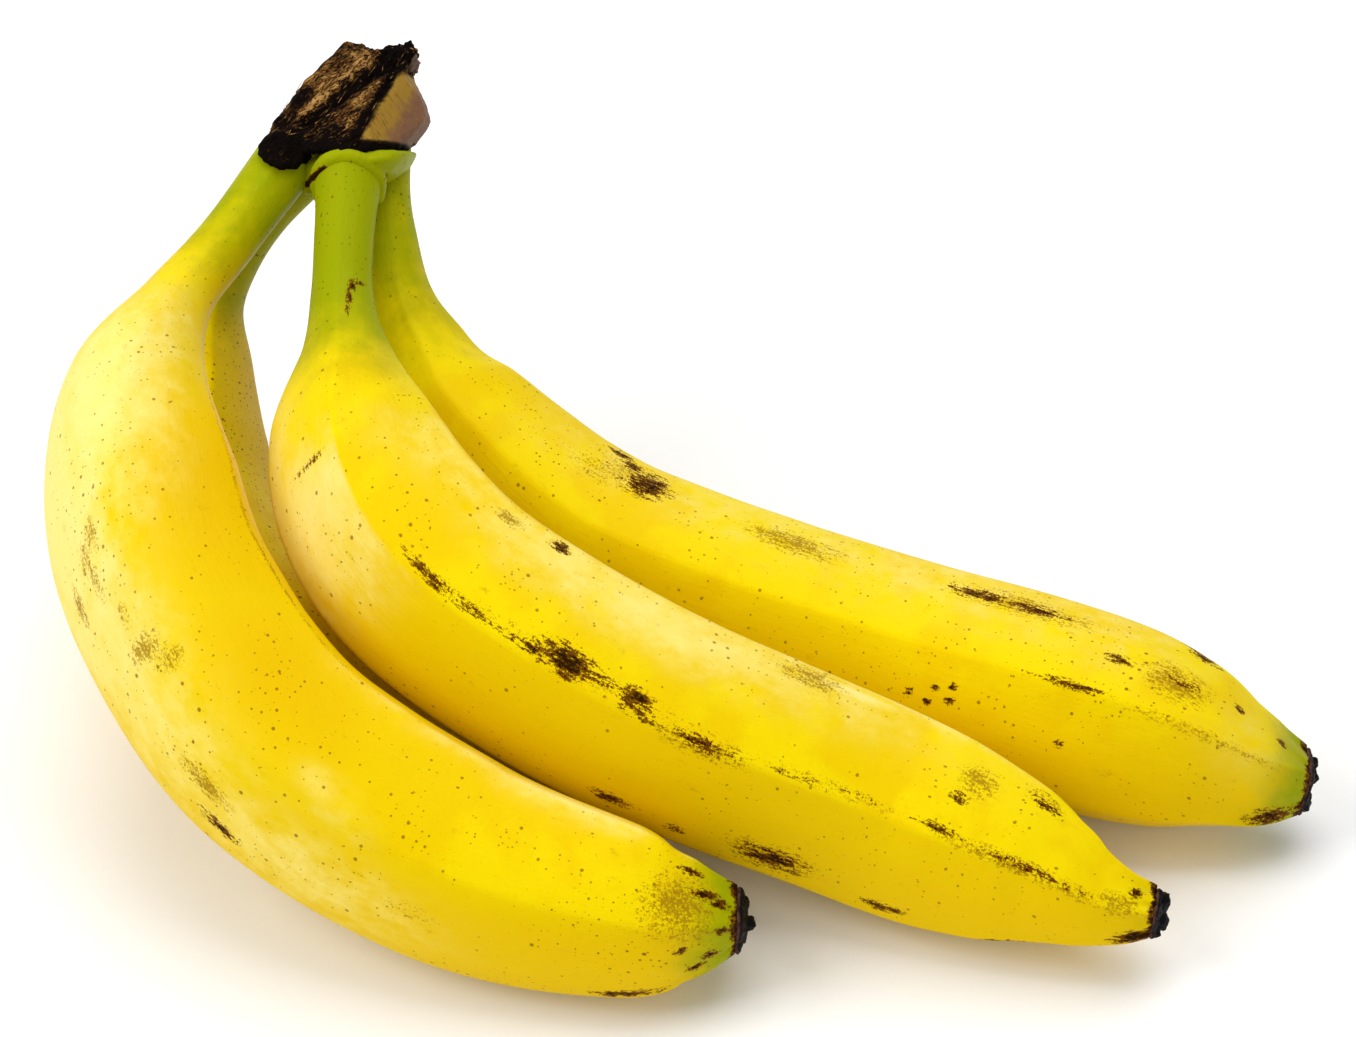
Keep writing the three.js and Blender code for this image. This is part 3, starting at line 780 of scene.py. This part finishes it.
def stains_and_painted_light_on(fruit, s, angle, radius):
    """How much of each kind of mark lies at each point: stains, as well as the painted sheen and painted
    shade.
    """
    stains_and_painted_light = np.zeros((len(KINDS), *s.shape))
    for kind, along, turn, half_length, half_width, strength in MARKS[fruit]:
        aside = np.mod(angle - math.radians(turn) + math.pi, 2 * math.pi) - math.pi
        reach = ((s - along) / half_length) ** 2 + (aside * radius / half_width) ** 2
        row = stains_and_painted_light[KINDS.index(kind)]
        np.maximum(row, strength * np.exp(-reach), out=row)
    return stains_and_painted_light


def shape_fruit(mesh, fruit, look):
    """Lays a flat grid round and along the fruit's spine, and keeps where each point is on the peel."""
    grid = points_of(mesh)
    rows = np.array(STATIONS[fruit], dtype=float)
    share = np.clip(grid[:, 1] + 0.5, 0.0, 1.0)
    angle = -grid[:, 0] * 2 * math.pi
    fine = np.linspace(0, len(rows) - 1, 2001)
    path = curve_at(rows, fine)[:, :3]
    lengths = np.concatenate([[0], np.cumsum(np.linalg.norm(np.diff(path, axis=0), axis=1))])
    s = share * lengths[-1]
    to_end = lengths[-1] - s
    t = np.interp(s, lengths, fine)
    middle, _, ridge, across, radius = spine_frames(rows, t, ROLL[fruit])

    neck = int(np.argmax(rows[:, 3] > STEM_WIDEST)) - 1
    body = smooth_step(t, neck, neck + 2)
    tip = 1 - smooth_step(to_end, 4, 22)
    softness = RIDGE_SOFTNESS[fruit] * (1 - 0.7 * tip)
    reach = radius * RIDGE_RADIUS * pentagon(angle, STEM_RIDGE + (BODY_RIDGE - STEM_RIDGE) * body, softness)
    skin = np.stack([s, reach * np.cos(angle), reach * np.sin(angle)], axis=1)
    seed = 10.0 * list(STATIONS).index(fruit)
    dents = rough_at(skin * (0.35, 1, 1), 0.085, seed) + 0.4 * rough_at(skin * (0.5, 1, 1), 0.2, seed + 3)
    reach = reach + look.waviness / MM * dents * (0.25 + 0.75 * body) * (1 - 0.6 * tip)
    crest = crest_at(angle, reach, 0.8)
    reach = reach + look.crest / MM * crest * body
    pucker = 1 - smooth_step(to_end, 0, 5)
    reach = reach + pucker * (0.2 * np.cos(angle * 11 + 0.8) + 0.12 * np.cos(angle * 17 + 2))

    points = middle + ridge * (reach * np.cos(angle))[:, None] + across * (reach * np.sin(angle))[:, None]
    points[:, 2] = np.maximum(points[:, 2], 0.0)
    place_points(mesh, points * MM)

    stains_and_painted_light = stains_and_painted_light_on(fruit, s, angle, reach)
    bruise, tan, freckle, pale, gold = stains_and_painted_light
    outward = normals_of(mesh)
    outward *= np.sign(np.sum(outward * (points - middle), axis=1))[:, None]
    # painted sheen: peel facing the lights is made paler, coming in past the stem
    lit = np.max([smooth_step(outward @ way, low, 1.08) for way, low in PAINTED_SHEEN_WAYS], axis=0)
    pale_from, sheen_strength = PAINTED_SHEEN[fruit]
    lit *= sheen_strength * smooth_step(s, pale_from, pale_from + PAINTED_SHEEN_FADE)
    # painted shade: peel facing down is made deeper gold, and the gold marks add more of it
    shaded = 1 - smooth_step(outward @ UPWARD, -0.1, 0.75)
    np.maximum(pale, lit, out=pale)
    np.maximum(shaded, gold, out=shaded)
    np.maximum(freckle, FRECKLE_BASE, out=freckle)
    freckle *= smooth_step((math.pi - np.abs(angle)) * reach, 1.5, 4)
    np.maximum(tan, crest * smooth_step(s, 60, 90) * 0.22 * (fruit != "left"), out=tan)
    np.maximum(bruise, 0.9 * (1 - smooth_step(to_end, 0.3, 1.3 + 0.6 * np.cos(angle * 5))), out=bruise)
    low, high, green = GREEN[fruit]
    stem_green = green * (1 - smooth_step(s, low, high))
    tip_green = TIP_GREEN[fruit] * (1 - smooth_step(to_end, -2, 16))
    unripe = np.maximum(stem_green, tip_green)
    store(mesh, "skin", skin + (seed * 7, 0, 0), "FLOAT_VECTOR")
    store(mesh, "unrolled", np.stack([s + seed * 7, angle * reach, 0 * s], axis=1), "FLOAT_VECTOR")
    store(mesh, "stains_and_painted_light", stains_and_painted_light[:PEEL_KINDS].T, "FLOAT_COLOR")
    store(mesh, "unripe", unripe, "FLOAT")
    store(mesh, "shaded", shaded, "FLOAT")


def close_ends():
    """Joins the grid's two long edges and closes the stem's and the tip's open rings."""
    bpy.ops.object.mode_set(mode="EDIT")
    bpy.ops.mesh.select_all(action="SELECT")
    bpy.ops.mesh.remove_doubles(threshold=1e-6)
    bpy.ops.mesh.select_all(action="DESELECT")
    bpy.ops.mesh.select_mode(type="EDGE")
    bpy.ops.mesh.select_non_manifold(
        extend=False, use_multi_face=False, use_non_contiguous=False, use_verts=False
    )
    bpy.ops.mesh.edge_face_add()
    bpy.ops.mesh.select_mode(type="FACE")
    bpy.ops.mesh.poke()
    bpy.ops.mesh.select_all(action="SELECT")
    bpy.ops.mesh.normals_make_consistent(inside=False)
    bpy.ops.object.mode_set(mode="OBJECT")


def add_fruit(fruit, material, look):
    deselect()
    bpy.ops.mesh.primitive_grid_add(x_subdivisions=look.around, y_subdivisions=look.along, size=1)
    piece = named(bpy.context.object, f"peel_{fruit}")
    shape_fruit(piece.data, fruit, look)
    close_ends()
    finish_piece(piece, material, "peel", f"banana_{fruit}")


# ---- crown ----


def crown_place(right, up, front):
    """A point of the crown's own axes, in mm in the hand's frame."""
    right, up, front = np.broadcast_arrays(right, up, front)
    moved = CROWN_BASE + HAND_SHIFT + UP_FRONT * up[..., None] + SIDE * front[..., None]
    moved[..., 0] += right
    return moved


def crown_axes(points):
    """The reverse: right, up and front of each point, in mm."""
    local = points / MM - HAND_SHIFT - CROWN_BASE
    return local[:, 0], local @ UP_FRONT, local @ SIDE


def grain_of(right, up, front):
    """Coordinates along and across the torn fibres, which rise to the right."""
    run, rise = GRAIN_WAY
    return np.stack([right * run + up * rise, right * rise - up * run, front], axis=-1)


def line_distance(right, up, start, end):
    """Distance to one straight line drawn on the crown's front."""
    start, end = np.array(start), np.array(end)
    way = end - start
    at = np.stack([right, up], axis=-1) - start
    share = np.clip(at @ way / (way @ way), 0, 1)
    return np.linalg.norm(at - share[..., None] * way, axis=-1)


def stroke(right, up, path, width):
    """1 on a line drawn over the crown's front, falling to 0 a width beside it."""
    away = np.min([line_distance(right, up, a, b) for a, b in zip(path, path[1:])], axis=0)
    return np.exp(-((away / width) ** 2))


def shape_crown(mesh, look):
    """Displaces the crown along its torn grain, and keeps which of its parts each point is in."""
    points = points_of(mesh)
    normals = normals_of(mesh)
    right, up, front = crown_axes(points)
    grain = grain_of(right, up, front)
    facing = normals @ SIDE
    seen = smooth_step(facing, -0.1, 0.3)
    wobble = rough_at(grain, 0.35, 3) * 0.5 + rough_at(grain, 1.4, 8) * 0.3

    past_edge = right - (-54.6 + np.maximum(up - 5, 0) * 0.467) + wobble
    smooth = smooth_step(past_edge, -0.3, 0.7) * smooth_step(facing + 0.7 * normals[:, 0], 0.0, 0.4)
    smooth = smooth * (1 - smooth_step(up, 16.4, 17.6)) * smooth_step(up, 3.2, 4.2)
    hollow = stroke(right, up, CREVICE, 1.0) * seen
    seam = stroke(right, up, SKIN_EDGE, 0.8) * seen
    lit = stroke(right + wobble, up - wobble, LIT_RIDGE, 0.8) * seen
    top = smooth_step(up, 18.6, 20.4) * smooth_step(right, -54.5, -51)
    tongue = smooth_step(-right, 64, 65.6) * (1 - smooth_step(up, 5, 6.6))
    lip = (1 - smooth_step(up, 3.4, 4.6)) * (1 - tongue)

    strands = rough_at(grain * (0.14, 0.8, 0.8), 1.0) + 0.5 * rough_at(grain * (0.2, 2.2, 2.2), 1.0, 5)
    crumbs = rough_at(grain, 0.9, 9)
    depth = look.grain / MM * (strands * (1 - 0.85 * smooth) + 0.3 * crumbs * (1 - 0.6 * smooth))
    depth = depth + 0.8 * top * crumbs - 1.6 * hollow - 0.8 * seam + 0.6 * lit + 0.35 * lip
    place_points(mesh, points + normals * (depth * MM)[:, None])

    # these parts are coloured darker: the crevice, the skin's edge, the stub, the tongue, the lip, and faces
    # turned away from the front
    behind = 1 - seen
    darkened = np.clip(hollow + seam + top + 0.55 * tongue + 0.55 * lip + 0.3 * behind, 0, 1)
    darkened = np.maximum(darkened, 0.3 * smooth_step(-right - 0.9 * (up - 8), 58, 60.5) * (1 - lit))
    # painted glints on the stub: its raised crumbs take the light fibre colour
    glints = top * smooth_step(crumbs + 0.5 * strands, 0.25, 0.5)
    lit = np.maximum(lit, glints)
    darkened *= 1 - 0.8 * glints
    purple = smooth_step(past_edge, 1.5, 6.5)
    hairs = np.stack([right * 0.45 - up * 0.9, right * 0.9 + up * 0.45, front], axis=-1)
    grain = np.where(smooth[:, None] > 0.5, hairs, grain)
    store(mesh, "grain", grain, "FLOAT_VECTOR")
    store(mesh, "regions", np.stack([smooth, darkened, lit, purple], axis=1), "FLOAT_COLOR")


def add_strand(chance, mesh_points, mesh_normals, rows):
    """One thin tapered fibre that lies on the cut along the grain and lifts at its tip."""
    pick = rows[chance.randrange(len(rows))]
    start = Vector(mesh_points[pick])
    normal = Vector(mesh_normals[pick])
    run, rise = GRAIN_WAY
    way = Vector(run * np.array([1.0, 0, 0]) + rise * UP_FRONT)
    way = (way - normal * way.dot(normal)).normalized()
    way = (way + 0.2 * Vector([chance.uniform(-1, 1) for _ in range(3)])).normalized()
    length = chance.uniform(0.9, 2.8) * MM
    width = chance.uniform(0.04, 0.11) * MM
    bpy.ops.mesh.primitive_cone_add(
        vertices=5, radius1=width, radius2=0.02 * MM, depth=length, end_fill_type="TRIFAN"
    )
    strand = bpy.context.object
    tip = (way + normal * chance.uniform(-0.04, 0.16)).normalized()
    turn = Vector((0, 0, 1)).rotation_difference(tip).to_matrix().to_4x4()
    strand.matrix_world = Matrix.Translation(start + tip * length * 0.42 + normal * 0.05 * MM) @ turn
    return strand


def join(pieces, name):
    deselect()
    for piece in pieces:
        piece.select_set(True)
    bpy.context.view_layer.objects.active = pieces[0]
    if len(pieces) > 1:
        bpy.ops.object.join()
    bpy.ops.object.transform_apply(location=True, rotation=True, scale=True)
    return named(bpy.context.object, name)


def add_crown(look):
    crown = copy_of_node("crown", "crown_fibre")
    remesh(crown, look.voxel)
    shape_crown(crown.data, look)
    finish_piece(crown, crown_material(look), "crown_wood", "crown")

    points = points_of(crown.data)
    normals = normals_of(crown.data)
    right, up, _ = crown_axes(points)
    # the points of the cut, left of the dried skin
    rows = np.flatnonzero((normals @ SIDE > 0.15) & (right < -55 + (up - 5) * 0.49) & (up > 5) & (up < 19))
    chance = random.Random(STRAND_SEED)
    strands = [add_strand(chance, points, normals, rows) for _ in range(look.fibres)]
    loose = join(strands, "crown_strands")
    finish_piece(loose, fibre_material(look), "crown_wood")


def add_ball(place, radius):
    """A ball at a place, both in mm."""
    deselect()
    bpy.ops.mesh.primitive_ico_sphere_add(subdivisions=2, radius=radius * MM, location=Vector(place * MM))
    return bpy.context.object


def add_knob(material):
    """The crumbled black stub at the crown's upper right."""
    chance = random.Random(KNOB_SEED)
    lumps = []
    for _ in range(KNOB_LUMPS):
        place = crown_place(*(chance.uniform(*reach) for reach in KNOB_REACH))
        lumps.append(add_ball(place, chance.uniform(0.6, 1.3)))
    knob = join(lumps, "crown_knob")
    remesh(knob, KNOB_VOXEL)
    points = points_of(knob.data)
    crust = rough_at(points / MM, 0.8, 2) + 0.6 * rough_at(points / MM, 2.1, 6)
    place_points(knob.data, points + normals_of(knob.data) * (crust * 0.5 * MM)[:, None])
    none = np.zeros(len(points))
    # painted glints: the raised crust takes the light fibre colour instead of the dark
    glints = smooth_step(crust, 0.35, 0.65)
    store(knob.data, "grain", grain_of(*crown_axes(points)), "FLOAT_VECTOR")
    store(knob.data, "regions", np.stack([none, 0.85 - 0.6 * glints, glints, none], axis=1), "FLOAT_COLOR")
    finish_piece(knob, material, "crown_wood")


def add_fold():
    """Balls round the top of the middle stem's front and along the crack, which the cushion grows over."""
    rows = np.array(STATIONS["middle"], dtype=float)
    balls = []
    for turn in range(-FOLD_TURN, FOLD_TURN + 1, 10):
        low = 0.04 + 0.55 * (turn / FOLD_TURN) ** 2
        middle, _, ridge, across, radius = spine_frames(rows, np.array([low]), ROLL["middle"])
        angle = math.radians(turn)
        out = ridge[0] * math.cos(angle) + across[0] * math.sin(angle)
        balls.append(add_ball(middle[0] + out * (radius[0] - 0.6), FOLD_RADIUS))
    balls += [add_ball(crown_place(*place), SWELLING_RADIUS) for place in SWELLINGS]
    return balls


def add_collar(material):
    """The green cushion in which the stems grow together, softened and grown over its seams."""
    collar = join([copy_of_node("stem_collar", "stem_cushion"), *add_fold()], "stem_cushion")
    remesh(collar, CUSHION_VOXEL)
    only(collar)
    soft = collar.modifiers.new("soft", "SMOOTH")
    soft.factor = 0.6
    soft.iterations = 8
    bpy.ops.object.modifier_apply(modifier=soft.name)
    points = points_of(collar.data)
    bulge = 0.34 + 0.14 * rough_at(points / MM, 0.35, 4) + 0.06 * rough_at(points / MM, 1.2, 4)
    place_points(collar.data, points + normals_of(collar.data) * (bulge * MM)[:, None])
    right, up, _ = crown_axes(points_of(collar.data))
    stains_and_painted_light = np.zeros((len(points), PEEL_KINDS))
    crack = 2.5 * stroke(right, up, STEM_CRACK, 0.42)
    stains_and_painted_light[:, KINDS.index("bruise")] = np.minimum(1.2, crack)
    stains_and_painted_light[:, KINDS.index("freckle")] = 0.5
    store(collar.data, "skin", points / MM, "FLOAT_VECTOR")
    store(collar.data, "unrolled", points[:, (0, 2, 1)] / MM, "FLOAT_VECTOR")
    store(collar.data, "stains_and_painted_light", stains_and_painted_light, "FLOAT_COLOR")
    store(collar.data, "unripe", np.ones(len(points)), "FLOAT")
    store(collar.data, "shaded", np.zeros(len(points)), "FLOAT")
    finish_piece(collar, material, "peel", "stem_collar")


# ---- blossom ends ----


def add_blossom_end(fruit, material, look):
    """The dried stump at a fruit's tip, with a rough crust and its foot set a little into the peel."""
    stump = copy_of_node(f"blossom_end_{fruit}", f"stump_{fruit}")
    remesh(stump, look.voxel)
    rows = np.array(STATIONS[fruit], dtype=float)
    middle, along, _, _, radius = spine_frames(rows, np.array([len(rows) - 1.0]), ROLL[fruit])
    points = points_of(stump.data)
    height = (points / MM - middle[0]) @ along[0]
    out = np.linalg.norm(points / MM - middle[0] - height[:, None] * along[0], axis=1) / radius[0]
    crust = rough_at(points / MM, 0.7, 1) + 0.7 * rough_at(points / MM, 1.7, 2)
    pushed = points + normals_of(stump.data) * (crust * look.crust)[:, None]
    pushed -= along[0] * ((1 - smooth_step(height, 0.2, 0.8)) * 0.35 * MM)[:, None]
    place_points(stump.data, pushed)
    store(stump.data, "collar", (1 - smooth_step(height, 0.1, 1.2)) * smooth_step(out, 0.6, 0.95), "FLOAT")
    finish_piece(stump, material, "blossom_stump", f"blossom_end_{fruit}")


# ---- stage ----


def add_light(name, place, aim, size, power):
    light = bpy.data.lights.new(name, "AREA")
    light.shape = "SQUARE"
    light.size = size
    light.energy = power
    lamp = bpy.data.objects.new(name, light)
    bpy.context.collection.objects.link(lamp)
    lamp.location = place
    lamp.rotation_euler = (Vector(aim) - Vector(place)).to_track_quat("-Z", "Y").to_euler()


def add_stage(look):
    deselect()
    bpy.ops.mesh.primitive_plane_add(size=look.floor_size, location=(0, 0, 0))
    floor = named(bpy.context.object, "table_top")
    floor.data.materials.append(floor_material(look))

    for light in LIGHTS:
        add_light(*light)

    world = bpy.data.worlds.new("studio")
    world.use_nodes = True
    world.node_tree.nodes["Background"].inputs["Color"].default_value = (1, 1, 1, 1)
    world.node_tree.nodes["Background"].inputs["Strength"].default_value = WORLD_LIGHT
    bpy.context.scene.world = world

    bpy.context.scene.view_settings.view_transform = "Standard"

    camera = bpy.data.objects.new("camera", bpy.data.cameras.new("camera"))
    bpy.context.collection.objects.link(camera)
    camera.data.lens = look.lens
    camera.data.sensor_width = 36
    camera.data.clip_start = 0.01
    back = Vector(SIDE) * look.distance
    camera.location = Vector(look.target) + back
    camera.rotation_euler = (-back).to_track_quat("-Z", "Y").to_euler()
    bpy.context.scene.camera = camera


# ---- operators ----


class HAND_OT_fruits(bpy.types.Operator):
    """Adds the fruits with their stems and the green cushion between the stems"""

    bl_idname = "hand.fruits"
    bl_label = "Fruits"

    def execute(self, context):
        look = context.scene.banana_fruits
        material = peel_material(look)
        for fruit in STATIONS:
            add_fruit(fruit, material, look)
        add_collar(material)
        return {"FINISHED"}


class HAND_OT_crown(bpy.types.Operator):
    """Adds the dried crown with its loose fibres and crumbled stub"""

    bl_idname = "hand.crown"
    bl_label = "Crown"

    def execute(self, context):
        look = context.scene.banana_crown
        add_crown(look)
        add_knob(bpy.data.materials["crown_wood"])
        return {"FINISHED"}


class HAND_OT_blossom_ends(bpy.types.Operator):
    """Adds the dried stump at each fruit's tip"""

    bl_idname = "hand.blossom_ends"
    bl_label = "Blossom Ends"

    def execute(self, context):
        look = context.scene.banana_ends
        material = stump_material(look)
        for fruit in STATIONS:
            add_blossom_end(fruit, material, look)
        return {"FINISHED"}


class HAND_OT_stage(bpy.types.Operator):
    """Adds the table top, the lights and the camera"""

    bl_idname = "hand.stage"
    bl_label = "Stage"

    def execute(self, context):
        add_stage(context.scene.banana_stage)
        return {"FINISHED"}


OPERATORS = (HAND_OT_fruits, HAND_OT_crown, HAND_OT_blossom_ends, HAND_OT_stage)


class HAND_PT_panel(bpy.types.Panel):
    """Lists what builds the hand of bananas"""

    bl_idname = "HAND_PT_panel"
    bl_label = "Hand of Bananas"
    bl_space_type = "VIEW_3D"
    bl_region_type = "UI"
    bl_category = "Bananas"

    def draw(self, context):
        for operator in OPERATORS:
            self.layout.operator(operator.bl_idname)
        for name in SETTINGS:
            group = getattr(context.scene, name)
            box = self.layout.box()
            for key in group.__annotations__:
                box.prop(group, key)


CLASSES = (*SETTINGS.values(), *OPERATORS, HAND_PT_panel)


def register():
    for cls in CLASSES:
        bpy.utils.register_class(cls)
    for name, group in SETTINGS.items():
        setattr(bpy.types.Scene, name, bpy.props.PointerProperty(type=group))


def unregister():
    for name in SETTINGS:
        delattr(bpy.types.Scene, name)
    for cls in reversed(CLASSES):
        bpy.utils.unregister_class(cls)


def main():
    register()
    bpy.ops.hand.fruits()
    bpy.ops.hand.crown()
    bpy.ops.hand.blossom_ends()
    bpy.ops.hand.stage()


if __name__ == "__main__":
    main()
